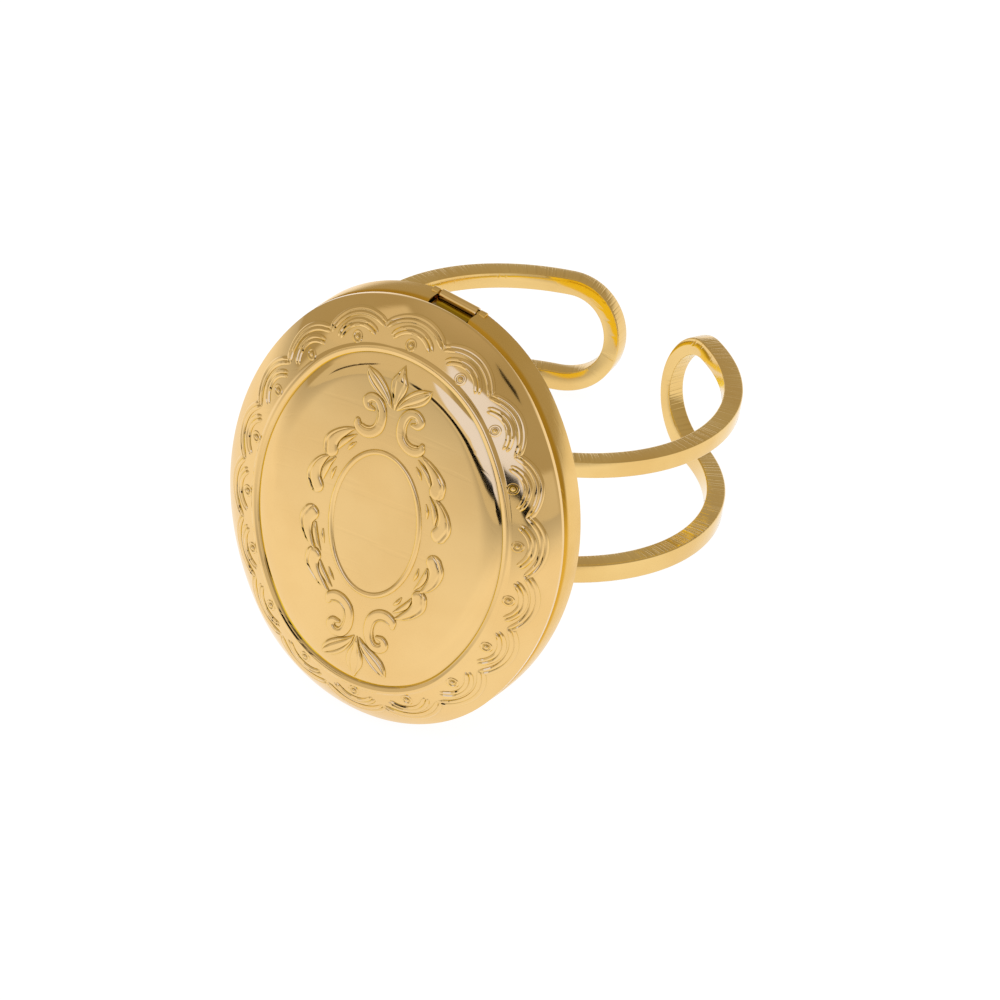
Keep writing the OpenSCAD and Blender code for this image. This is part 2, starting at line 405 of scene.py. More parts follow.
@dataclass(frozen=True)
class CoverProfile:
    """Heights of the cover's outside and of its hollow, by the distance inside the rim.

    A name that ends in _r is an arc's radius, in _in its middle's distance inside the rim and in
    _z its middle's height above the edge.
    """

    edge_z: float = 14.0
    border_r: float = 5.68
    border_in: float = 4.1
    border_z: float = -3.931
    bead_r: float = 0.21
    bead_in: float = 2.27
    bead_z: float = 1.325
    shoulder_r: float = 2.3
    shoulder_from: float = 2.45
    field_from: float = 3.6
    field_flat: float = 8.2
    field_r: float = 64.0
    rise: float = 1.97
    shell_t: float = 0.5
    hollow_r: float = 2.67
    hollow_in: float = 2.69
    hollow_z: float = -1.68
    hollow_steps: int = 10
    hollow_floor: tuple[Pair, ...] = (
        (3.3, 0.99), (3.45, 1.03), (3.6, 1.2), (3.75, 1.38), (3.9, 1.42), (5.6, 1.42))
    steepest: float = 1.6
    slope_step: float = 0.01

    def height(self, d: Array) -> Array:
        """Heights of the outside above edge_z at distances d inside the rim."""
        lean = math.asin((self.field_flat - self.field_from) / self.field_r)
        inner_r = self.field_r - self.shoulder_r
        shoulder_in = self.field_flat - inner_r * math.sin(lean)
        shoulder_z = self.rise - self.field_r + inner_r * math.cos(lean)
        border = self.border_z + arc(self.border_r, self.border_in, d)
        bead = np.where(np.abs(d - self.bead_in) < self.bead_r,
                        self.bead_z + arc(self.bead_r, self.bead_in, d), -1)
        shoulder = shoulder_z + arc(self.shoulder_r, shoulder_in, d)
        middle = self.rise - self.field_r + arc(self.field_r, self.field_flat,
                                                np.minimum(d, self.field_flat))
        outer = np.where(d < self.shoulder_from, border,
                         np.where(d < self.field_from, shoulder, middle))
        return np.maximum(outer, bead)

    def lay(self, flat: Array) -> Array:
        """Lays flat points on the outside.

        Args:
            flat: Points in x and y, each with its height above the outside as z.

        Returns:
            The points in the locket's frame, raised square to the outside.
        """
        depth, out = OVAL.inside(flat[:, 0], flat[:, 1])
        depth = np.maximum(depth, 0)
        high, low = depth + self.slope_step, np.maximum(depth - self.slope_step, 0)
        rise = (self.height(high) - self.height(low)) / (high - low)
        rise = np.clip(rise, -self.steepest, self.steepest)
        size = np.hypot(rise, 1)
        normal = np.c_[out * (rise / size)[:, None], 1 / size]
        return np.c_[flat[:, :2], self.edge_z + self.height(depth)] + normal * flat[:, 2:]

    def hollow_rows(self) -> list[Pair]:
        """Rows of the hollow inwards, as distance inside the rim and height above the edge."""
        places = np.linspace(self.shell_t, self.hollow_in, self.hollow_steps)
        heights = self.hollow_z + arc(self.hollow_r, self.hollow_in, places)
        return [*zip(places, heights), *self.hollow_floor]


@dataclass(frozen=True)
class Stroke:
    """Raised stroke of the cast ornament, a smooth curve through points of x, y and half width.

    Grooves are places across it, from -1 at its left side to 1, along which a fine line is cut.
    """

    points: tuple[Triple, ...]
    grooves: tuple[float, ...] = ()
    height: float = 0.11
    slope: float = 2.4
    thin_share: float = 0.4
    thinnest: float = 0.004
    groove_h: float = 0.05
    groove_w: float = 0.11
    groove_full: float = 0.32
    foot: float = 0.06
    foot_from: float = 0.97
    step: float = 0.06
    across: int = 21
    round_ends: tuple[float, ...] = (0.985, 0.93, 0.82, 0.65, 0.42, 0.18)

    def rows(self) -> Array:
        """Rows of x, y and half width along the stroke, by a Catmull-Rom curve."""
        rows = np.array(self.points, float)
        padded = np.concatenate([[2 * rows[0] - rows[1]], rows, [2 * rows[-1] - rows[-2]]])
        out = []
        for p0, p1, p2, p3 in zip(padded, padded[1:], padded[2:], padded[3:]):
            count = max(2, int(np.linalg.norm(p2[:2] - p1[:2]) / self.step))
            t = np.linspace(0, 1, count, endpoint=False)[:, None]
            out.append(0.5 * (2 * p1 + (p2 - p0) * t + (2 * p0 - 5 * p1 + 4 * p2 - p3) * t**2
                              + (3 * p1 - p0 - 3 * p2 + p3) * t**3))
        return np.concatenate(out + [rows[-1:]])

    def rounded_rows(self) -> Array:
        """Adds the round ends to the rows.

        Returns:
            Rows of x, y, half width, way in x and y, half width of the stroke and share of the
            round end, which is 0 between the ends.
        """
        rows = self.rows()
        along = np.gradient(rows[:, :2], axis=0)
        along /= np.hypot(*along.T)[:, None]
        ends = []
        for row, way, turn in ((rows[0], -along[0], 1), (rows[-1], along[-1], -1)):
            ends.append([(*(row[:2] + way * row[2] * r), row[2] * math.sqrt(1 - r * r),
                          *(way * -turn), row[2], r) for r in self.round_ends[::turn]])
        middle = np.c_[rows, along, rows[:, 2], np.zeros(len(rows))]
        return np.concatenate([ends[0], middle, ends[1]])

    def mesh(self) -> MeshData:
        """Flat closed mesh of the stroke with its height as z."""
        table = self.rounded_rows()
        half = np.maximum(table[:, 2], self.thinnest)
        side = np.c_[-table[:, 4], table[:, 3]]
        share = np.sin(np.linspace(-math.pi / 2, math.pi / 2, self.across))
        full = np.maximum(table[:, 5:6], self.thinnest)
        far = np.hypot(share * half[:, None] / full, table[:, 6:])
        height = np.minimum(self.height, self.thin_share * self.slope * full)
        lift = 1 - np.minimum(far, 1) ** np.maximum(2, self.slope * full / height)
        top = height * lift - self.foot * (1 - lift) * (far > self.foot_from)
        for groove in self.grooves:
            dip = np.exp(-((share - groove) / self.groove_w) ** 2)
            top -= self.groove_h * dip * lift * np.minimum(1, full / self.groove_full)
        flat = table[:, None, :2] + side[:, None] * (half[:, None] * share)[..., None]
        points = np.concatenate([flat, top[..., None]], 2).reshape(-1, 3)
        return points, capped_tube(len(table), self.across)


@dataclass(frozen=True)
class Scrollwork:
    """Cast scrollwork round the plain middle oval, the same in all four quarters."""

    half_length: float = 3.92
    half_width: float = 2.45
    edge: float = 0.16
    edge_height: float = 0.14
    edge_sunk: float = 0.05
    edge_steps: int = 160
    edge_sides: int = 14
    leaf: Stroke = Stroke(
        ((0.02, 6.4, 0.04), (0.02, 6.9, 0.2), (0.03, 7.4, 0.42), (0.05, 7.9, 0.46),
         (0.06, 8.35, 0.25), (0.08, 8.75, 0.03)), (-0.5, 0.5))
    strokes: tuple[Stroke, ...] = (
        Stroke(((0.16, 6.42, 0.05), (0.46, 6.84, 0.24), (0.88, 7.22, 0.4), (1.3, 7.56, 0.42),
                (1.6, 7.82, 0.28), (1.8, 8.04, 0.04)), (-0.45, 0.45)),
        Stroke(((1.12, 5.98, 0.12), (1.4, 6.02, 0.21), (1.53, 6.3, 0.25), (1.3, 6.56, 0.27),
                (0.92, 6.52, 0.27), (0.66, 6.14, 0.28), (0.58, 5.6, 0.28), (0.7, 5.08, 0.3),
                (1.02, 4.76, 0.32), (1.42, 4.68, 0.33), (1.76, 4.84, 0.28),
                (1.84, 5.12, 0.14)), (0.6,)),
        Stroke(((1.95, 4.56, 0.08), (2.35, 4.28, 0.22), (2.78, 3.88, 0.32), (3.06, 3.42, 0.4),
                (3.04, 2.98, 0.43)), (0.5,)),
        Stroke(((1.78, 4.28, 0.05), (2.1, 3.98, 0.14), (2.42, 3.62, 0.17), (2.62, 3.2, 0.08))),
        Stroke(((1.72, 3.88, 0.04), (1.92, 3.64, 0.11), (2.08, 3.34, 0.05))),
        Stroke(((3.05, 2.62, 0.08), (3.38, 2.26, 0.22), (3.64, 1.78, 0.32), (3.72, 1.22, 0.41),
                (3.52, 0.78, 0.44)), (0.5,)),
        Stroke(((2.7, 2.62, 0.05), (2.96, 2.2, 0.14), (3.14, 1.74, 0.16), (3.2, 1.26, 0.07))),
        Stroke(((2.58, 2.14, 0.04), (2.7, 1.8, 0.1), (2.74, 1.44, 0.05))),
    )

    def rim(self) -> MeshData:
        """Low ridge round the plain oval."""
        turns, round_it = full_turn(self.edge_steps), full_turn(self.edge_sides)
        centre = np.c_[self.half_width * np.cos(turns), self.half_length * np.sin(turns)]
        out = np.c_[self.half_length * np.cos(turns), self.half_width * np.sin(turns)]
        out /= np.hypot(*out.T)[:, None]
        flat = centre[:, None] + out[:, None] * (self.edge * np.cos(round_it))[:, None]
        rise = self.edge_height * np.sin(round_it) - self.edge_sunk
        rise = np.broadcast_to(rise, flat.shape[:2])
        last = (self.edge_steps - 1) * self.edge_sides
        faces = tube(self.edge_steps, self.edge_sides) + ring_faces(last, 0, self.edge_sides)
        return np.concatenate([flat, rise[..., None]], 2).reshape(-1, 3), faces

    def mesh(self) -> MeshData:
        """Whole scrollwork, flat, with its height as z."""
        parts = [self.rim()]
        for up in (1, -1):
            points, faces = self.leaf.mesh()
            parts.append((points * [1, up, 1], faces))
            for right in (1, -1):
                for stroke in self.strokes:
                    points, faces = stroke.mesh()
                    parts.append((points * [right, up, 1], faces))
        return joined(parts)


@dataclass(frozen=True)
class Scallops:
    """Border of scallops: two arcs of doubled line over a ringed dot, repeated along a row."""

    count: int = 18
    dot_in: float = 1.76
    outer_centre: float = -1.06
    outer_r: float = 2.17
    outer_half: float = math.radians(52)
    inner_centre: float = -0.68
    inner_r: float = 1.31
    inner_half: float = math.radians(60)
    pair_w: float = 0.19
    ridge_half: float = 0.13
    ridge_h: float = 0.12
    sunk: float = 0.05
    fade: float = 10.0
    thin_end: float = 0.1
    dot_r: float = 0.24
    dot_share: float = 0.7
    boss_r: float = 0.15
    row_steps: int = 720
    section_sides: int = 10
    arc_steps: int = 32
    dot_steps: int = 24
    boss_steps: tuple[int, int] = (14, 7)

    def row(self) -> Object:
        """Closed line through the dots, anticlockwise, starting at the hinge end."""
        steps = self.row_steps
        points = np.roll(OVAL.ring_at(OVAL.turns(steps), self.dot_in, 0), -steps // 4, axis=0)
        mesh = bpy.data.meshes.new("dot_row")
        mesh.from_pydata(points.tolist(), [(k, (k + 1) % steps) for k in range(steps)], [])
        return linked("dot_row", mesh)

    def scallop(self, n: Nodes, size: bpy.types.NodeOutputs) -> Socket:
        """One flat scallop: four ridges, and a ringed dot at its origin.

        Args:
            n: Nodes of the tree that repeats it.
            size: Sizes that the tree is given, by name.

        Returns:
            The scallop's geometry.
        """
        circle = n.shape("CurvePrimitiveCircle", Resolution=self.section_sides, Radius=1.0)
        section = n.shape("Transform", Geometry=circle,
                          Scale=n.vector(size["ridge_h"], size["ridge_half"], 1.0))
        share = n.add("GeometryNodeSplineParameter").outputs["Factor"]
        to_end = n.math("MINIMUM", share, n.math("SUBTRACT", 1.0, share))
        fade = n.math("POWER", n.times(to_end, size["fade"], clamp=True), 0.5)
        fade = n.math("MAXIMUM", fade, self.thin_end)
        parts = []
        for name, side in product(("outer", "inner"), (-0.5, 0.5)):
            half = size[name + "_half"]
            line = n.add("GeometryNodeCurveArc", {
                "Resolution": self.arc_steps,
                "Radius": n.math("MULTIPLY_ADD", size["pair_w"], side, size[name + "_r"]),
                "Start Angle": n.times(half, -1.0),
                "Sweep Angle": n.times(half, 2.0)}, mode="RADIUS").outputs[0]
            ridge = n.shape("CurveToMesh", Curve=line, Profile_Curve=section, Scale=fade,
                            Fill_Caps=True)
            parts.append(n.shape("Transform", Geometry=ridge,
                                 Translation=n.vector(size[name + "_centre"])))
        rim = n.shape("CurvePrimitiveCircle", Resolution=self.dot_steps, Radius=size["dot_r"])
        narrow = n.shape("Transform", Geometry=section, Scale=(self.dot_share, self.dot_share, 1))
        parts.append(n.shape("CurveToMesh", Curve=rim, Profile_Curve=narrow))
        segments, rings = self.boss_steps
        parts.append(n.shape("MeshUVSphere", Segments=segments, Rings=rings,
                             Radius=size["boss_r"]))
        join = n.add("GeometryNodeJoinGeometry")
        for part in parts:
            n.tree.links.new(part, join.inputs[0])
        return n.shape("Transform", Geometry=join.outputs[0],
                       Translation=n.vector(z=n.times(size["sunk"], -1.0)))

    def tree(self) -> bpy.types.NodeTree:
        """Node tree that repeats one flat scallop along the row."""
        sizes = {name: ("Float", getattr(self, name)) for name in (
            "outer_centre", "outer_r", "outer_half", "inner_centre", "inner_r", "inner_half",
            "pair_w", "ridge_half", "ridge_h", "sunk", "fade", "dot_r", "boss_r")}
        inputs = {"Geometry": ("Geometry", None), "Count": ("Int", self.count),
                  "Material": ("Material", None), **sizes}
        n, given, result = new_group("repeat_scallops", "GeometryNodeTree", inputs,
                                     {"Geometry": "Geometry"})
        size = given.outputs
        row = n.shape("MeshToCurve", Mesh=size["Geometry"])
        spots = n.add("GeometryNodeCurveToPoints", {"Curve": row, "Count": size["Count"]},
                      mode="COUNT").outputs
        facing = n.add("FunctionNodeAlignRotationToVector", {"Vector": spots["Tangent"]},
                       axis="Y", pivot_axis="Z").outputs[0]
        repeated = n.shape("InstanceOnPoints", Points=spots["Points"],
                           Instance=self.scallop(n, size), Rotation=facing)
        whole = n.shape("RealizeInstances", Geometry=repeated)
        dressed = n.shape("SetMaterial", Geometry=whole, Material=size["Material"])
        n.tree.links.new(dressed, result.inputs[0])
        return n.tree

    def mesh(self, material: Material) -> MeshData:
        """All scallops, flat, with their height as z."""
        row = self.row()
        modifier = row.modifiers.new("scallops", "NODES")
        modifier.node_group = self.tree()
        set_inputs(modifier, {"Count": self.count, "Material": material})
        outward(applied(row).data)
        points, faces = mesh_arrays(row)
        bpy.data.objects.remove(row)
        low, high = points[:, 2].min(), points[:, 2].max()
        log.info("scallops: %d points, height %.3f to %.3f", len(points), low, high)
        return points, faces


@dataclass
class Hinge:
    """Rolled knuckle in its notch, the two side knuckles and the pin on one axis."""

    pin_y: float = 11.3
    pin_z: float = 12.4
    turn: float = math.radians(-5.8)
    knuckle_l: float = 2.1
    knuckle_r: float = 0.29
    bore_r: float = 0.17
    rolled: Span = (168, 460, 45)
    leaf_y: float = 10.95
    leaf_t: float = 0.25
    leaf_top: float = 14.1
    leaf_shade: float = 0.95
    joint_share: float = 0.75
    side_l: float = 0.4
    side_r: float = 0.24
    gap: float = 0.1
    pin_r: float = 0.13
    pin_l: float = 2.88
    notch_y: float = 10.45
    round_off: float = 0.05
    round_steps: int = 5
    end_soft: float = 0.04
    end_share: float = 0.97
    sides: int = 40

    def placed(self, points: Array) -> Array:
        """Turns what is drawn at the oval's very end round its end arc, to the hinge's place."""
        c, s = math.cos(self.turn), math.sin(self.turn)
        x, y, z = np.asarray(points, float).T
        y = y - OVAL.end_c
        return np.c_[c * x - s * y, s * x + c * y + OVAL.end_c, z]

    def around(self, radius: float, turns: Sequence[float]) -> list[Pair]:
        """Places of y and z round the pin's axis."""
        return [(self.pin_y + radius * math.cos(t), self.pin_z + radius * math.sin(t))
                for t in turns]

    def lathe(self, rows: Sequence[Pair]) -> MeshData:
        """Turned solid along the pin's axis.

        Args:
            rows: Pairs of place along the axis and radius.

        Returns:
            Points and faces, numbered from 0.
        """
        turns = full_turn(self.sides)
        points = [(x, *place) for x, radius in rows for place in self.around(radius, turns)]
        return self.placed(points), capped_tube(len(rows), self.sides)

    def rod(self, first: float, last: float, radius: float) -> MeshData:
        """Rod with rounded ends, between two places along the pin's axis."""
        soft = self.round_off
        steps = np.linspace(0, math.pi / 2, self.round_steps)
        ends = [(soft * (1 - math.sin(a)), radius - soft * (1 - math.cos(a))) for a in steps]
        return self.lathe([(first + x, r) for x, r in ends[::-1]]
                          + [(last - x, r) for x, r in ends])

    def knuckle(self) -> tuple[Array, list, Array]:
        """Cover's knuckle, rolled from its leaf round the pin.

        Returns:
            Points and faces, numbered from 0, and how deep each point lies in the notch's shade.
        """
        joint_z = self.pin_z + self.joint_share * self.knuckle_r
        back_y = self.leaf_y + self.leaf_t
        turns = np.radians(np.linspace(*self.rolled))
        outline = [(self.leaf_y, self.leaf_top), (self.leaf_y, joint_z),
                   *self.around(self.knuckle_r, turns), *self.around(self.bore_r, turns[::-1]),
                   (back_y, joint_z), (back_y, self.leaf_top)]
        middle = np.mean(outline, axis=0)
        half, soft = self.knuckle_l / 2, self.end_soft
        rows = ((-half, self.end_share), (soft - half, 1), (half - soft, 1),
                (half, self.end_share))
        points = [(x, *place) for x, grow in rows
                  for place in middle + (np.array(outline) - middle) * grow]
        leaf = [self.leaf_shade * (y < back_y + soft and z > joint_z - soft)
                for _, y, z in points]
        return self.placed(points), capped_tube(len(rows), len(outline)), np.array(leaf)


@dataclass
class FrontCover:
    """Stamped cover: a fine skin with its cast ornament, the edge, the hollow and the knuckle."""

    profile: CoverProfile = field(default_factory=CoverProfile)
    scrolls: Scrollwork = field(default_factory=Scrollwork)
    scallops: Scallops = field(default_factory=Scallops)
    hinge: Hinge = field(default_factory=Hinge)
    columns: int = 432
    top_columns: int = 98
    patch_in: float = 2.65
    row_step: float = 0.068
    edge_h: float = 0.25
    soft: float = 0.05
    soft_share: float = 0.3
    hollow_soft: float = 0.03
    coarser: int = 4

    def patch(self, ring: Array, last: int, inner: int) -> tuple[Array, Array]:
        """Patch of squares that fills the innermost ring of the skin.

        Args:
            ring: Points of that ring in x and y.
            last: Number of the ring's first point.
            inner: Number that the patch's first own point gets.

        Returns:
            The patch's own points, and its quads.
        """
        wide, tall = self.top_columns, self.columns // 2 - self.top_columns
        corner = tall // 2
        top = (np.arange(wide, -1, -1) + corner) % self.columns
        left = (np.arange(tall, -1, -1) + corner + wide) % self.columns
        bottom = (np.arange(wide + 1) + corner + wide + tall) % self.columns
        right = (np.arange(tall + 1) + corner + 2 * wide + tall) % self.columns
        u = np.linspace(0, 1, wide + 1)[:, None, None]
        v = np.linspace(0, 1, tall + 1)[None, :, None]
        b, t, l, r = ring[bottom][:, None], ring[top][:, None], ring[left][None], ring[right][None]
        grid = (1 - v) * b + v * t + (1 - u) * l + u * r
        grid -= (1 - u) * (1 - v) * b[0] + u * (1 - v) * b[-1]
        grid -= (1 - u) * v * t[0] + u * v * t[-1]
        ids = np.full((wide + 1, tall + 1), -1)
        ids[1:-1, 1:-1] = inner + np.arange((wide - 1) * (tall - 1)).reshape(wide - 1, tall - 1)
        ids[:, 0], ids[:, -1] = last + bottom, last + top
        ids[0, :], ids[-1, :] = last + left, last + right
        squares = np.stack([ids[:-1, :-1], ids[1:, :-1], ids[1:, 1:], ids[:-1, 1:]], 2)
        return grid[1:-1, 1:-1].reshape(-1, 2), squares.reshape(-1, 4)

    def plan(self) -> MeshData:
        """Plan of the skin in x and y: rings along the rim round a patch of squares."""
        turns = OVAL.turns(self.columns)
        rows = round(self.patch_in / self.row_step) + 1
        rings = [OVAL.at(turns, d) for d in np.linspace(0, self.patch_in, rows)]
        points, squares = self.patch(rings[-1], (rows - 1) * self.columns, rows * self.columns)
        faces = tube(rows, self.columns) + [tuple(quad) for quad in squares.tolist()]
        return np.concatenate([*rings, points]), faces

    def shell_under(self, start: int) -> MeshData:
        """Edge, underside and hollow, joined to the skin's first row.

        Args:
            start: Number that the first point gets.

        Returns:
            Points and faces.
        """
        low, profile = self.profile.edge_z - self.edge_h, self.profile
        fine = OVAL.turns(self.columns)
        coarse = fine[::self.coarser]
        near = self.soft * self.soft_share
        edge = [(0.0, low + self.soft), (near, low + near), (self.soft, low)]
        faces = ring_faces(0, start, self.columns) + tube(len(edge), self.columns, start)
        last = start + (len(edge) - 1) * self.columns
        first, count = last + self.columns, len(coarse)
        for j in range(count):
            wide = [last + (self.coarser * j + i) % self.columns
                    for i in range(self.coarser + 1)]
            faces.append((first + (j + 1) % count, first + j, *wide))
        inner = [(profile.shell_t - self.hollow_soft, low),
                 (profile.shell_t, low + self.hollow_soft)]
        inner += [(d, profile.edge_z + z) for d, z in profile.hollow_rows()]
        faces += tube(len(inner), count, first)
        end = first + (len(inner) - 1) * count
        faces.append(tuple(range(end, end + count)))
        points = [OVAL.ring_at(fine, d, z) for d, z in edge]
        points += [OVAL.ring_at(coarse, d, z) for d, z in inner]
        return np.concatenate(points), [face[::-1] for face in faces]

    def build(self, material: Material) -> Object:
        """Makes the whole cover in place."""
        plan, top = self.plan()
        skin = self.profile.lay(np.c_[plan, np.zeros(len(plan))])
        under, more = self.shell_under(len(skin))
        ornament, cast = joined([self.scallops.mesh(material), self.scrolls.mesh()])
        knuckle, rolled, leaf = self.hinge.knuckle()
        points, faces = joined([(np.concatenate([skin, under]), top + more),
                                (self.profile.lay(ornament), cast), (knuckle, rolled)])
        obj = new_mesh("front_cover_skin", points, faces)
        # painted shade: the knuckle's leaf is stored as shade, which its material darkens
        store(obj, "shade", np.append(np.zeros(len(points) - len(leaf)), leaf))
        outward(obj.data)
        finish_piece(obj, material, Body.COVER, Slot.CAST, "front_cover")
        return obj


@dataclass
class BackShell:
    """Back shell: upright wall, domed back, lip inside the cover and the side knuckles."""

    hinge: Hinge = field(default_factory=Hinge)
    wall_z: float = 12.2
    wall_h: float = 1.35
    shell_t: float = 0.5
    back_depth: float = 2.7
    back_r: float = 4.2
    back_in: float = 3.44
    back_z: float = 2.41
    field_flat: float = 8.2
    outside: tuple[Span, ...] = ((8.2, 3.4, 14), (3.0, 0.0, 16))
    inside: tuple[Span, ...] = ((0.5, 3.2, 14), (3.6, 8.2, 8))
    lip_gap: float = 0.1
    lip_t: float = 0.35
    lip_h: float = 0.38
    lip_root: float = 0.03
    ledge_h: float = 0.5
    ledge_soft: float = 0.04
    slope_h: float = 0.24
    slope_w: float = 0.2
    slope_bend: Pair = (0.3, 0.55)
    soft: float = 0.05
    shade_rate: float = 2.0
    shade_most: float = 0.9
    columns: int = 288
    notch_reach: float = 3.0
    notch_steps: int = 25

    def back_rows(self, places: Array, t: float) -> list[Pair]:
        """Rows of the back moved in by t, at places inside the rim."""
        dome_h, run = self.back_depth + self.back_z, self.field_flat - self.back_in
        dome_r = (run**2 + dome_h**2 - self.back_r**2) / (2 * (dome_h - self.back_r))
        lean = math.atan2(run, dome_r - dome_h)
        turn_in = self.field_flat - (dome_r - t) * math.sin(lean)
        edge = self.back_z - arc(self.back_r - t, self.back_in, places)
        dome = dome_r - self.back_depth - arc(dome_r - t, self.field_flat, places)
        return list(zip(places, np.where(places < turn_in, edge, dome)))

    def rows(self) -> list[Pair]:
        """Closed profile from the middle of the back outwards, up the wall, over the lip and in."""
        t, soft, top, nick = self.shell_t, self.soft, self.wall_h, self.lip_root
        bend_in, bend_h = self.slope_bend
        wall = [(0.0, top - self.slope_h),
                (bend_in * self.slope_w, top - bend_h * self.slope_h), (self.slope_w, top)]
        lip_out = t + self.lip_gap
        lip_in = lip_out + self.lip_t
        lip_top, ledge, step = top + self.lip_h, top - self.ledge_h, self.ledge_soft
        lip = [(lip_out - nick, top), (lip_out, top + nick), (lip_out, lip_top - soft),
               (lip_out + soft, lip_top), (lip_in - soft, lip_top), (lip_in, lip_top - soft),
               (lip_in, ledge), (lip_in - step, ledge - step), (t + step, ledge - 2 * step),
               (t, ledge - 3 * step)]
        return [*self.back_rows(spans(*self.outside), 0), *wall, *lip,
                *self.back_rows(spans(*self.inside), t)]

    def build(self, material: Material) -> Object:
        """Makes the shell in place, with its notch for the cover's knuckle."""
        turns = OVAL.turns(self.columns)
        rows = self.rows()
        points = [OVAL.ring_at(turns, d, self.wall_z + z) for d, z in rows]
        obj = new_mesh("back_shell", np.concatenate(points), capped_tube(len(rows), self.columns))
        cutter = self.notch()
        cut = obj.modifiers.new("notch", "BOOLEAN")
        cut.object, cut.operation, cut.solver = cutter, "DIFFERENCE", "EXACT"
        applied(obj)
        bpy.data.objects.remove(cutter)
        self.add_knuckles(obj)
        # painted shade: the wall's top chamfer, in the slit under the cover's edge, is stored as
        # shade, which the brushed material turns deep orange
        places, _ = mesh_arrays(obj)
        depth, _ = OVAL.inside(places[:, 0], places[:, 1])
        above = (places[:, 2] - self.wall_z - self.wall_h) / self.slope_h + 1
        shade = np.clip(self.shade_rate * above, 0, self.shade_most)
        store(obj, "shade", shade * (depth < self.shell_t + self.lip_gap))
        finish_piece(obj, material, Body.RING, Slot.PLATE, "band_and_back_shell")
        return obj

    def notch(self) -> Object:
        """Cutter for the knuckle and its leaf."""
        h = self.hinge
        radius, half = h.knuckle_r + h.gap, h.knuckle_l / 2 + h.gap
        far_y, far_z = h.pin_y + self.notch_reach, h.pin_z + self.notch_reach
        lower_half = np.radians(np.linspace(180, 360, self.notch_steps))
        outline = [(h.notch_y, far_z), (h.notch_y, h.pin_z), *h.around(radius, lower_half),
                   (far_y, h.pin_z), (far_y, far_z)]
        points = [(x, y, z) for x in (-half, half) for y, z in outline]
        cutter = new_mesh("notch", h.placed(points), capped_tube(2, len(outline)), smooth=False)
        outward(cutter.data)
        return cutter

    def add_knuckles(self, obj: Object) -> None:
        """Adds the two side knuckles to the shell's mesh."""
        h = self.hinge
        mesh = bmesh.new()
        mesh.from_mesh(obj.data)
        near = h.knuckle_l / 2 + h.gap
        for first, last in ((-near - h.side_l, -near), (near, near + h.side_l)):
            points, faces = h.rod(first, last, h.side_r)
            made = [mesh.verts.new(point) for point in points]
            new = [mesh.faces.new([made[i] for i in face]) for face in faces]
            bmesh.ops.recalc_face_normals(mesh, faces=new)
            for face in new:
                face.smooth = True
        mesh.to_mesh(obj.data)
        mesh.free()


@dataclass(frozen=True)
class LoopedEnd:
    """One half of the band, as it is bent: outline heights and the looped end's place."""

    upper: float
    lower: float
    depth: float
    tip_w: float
    tip_turn: float
    bend_up: float = 0.0


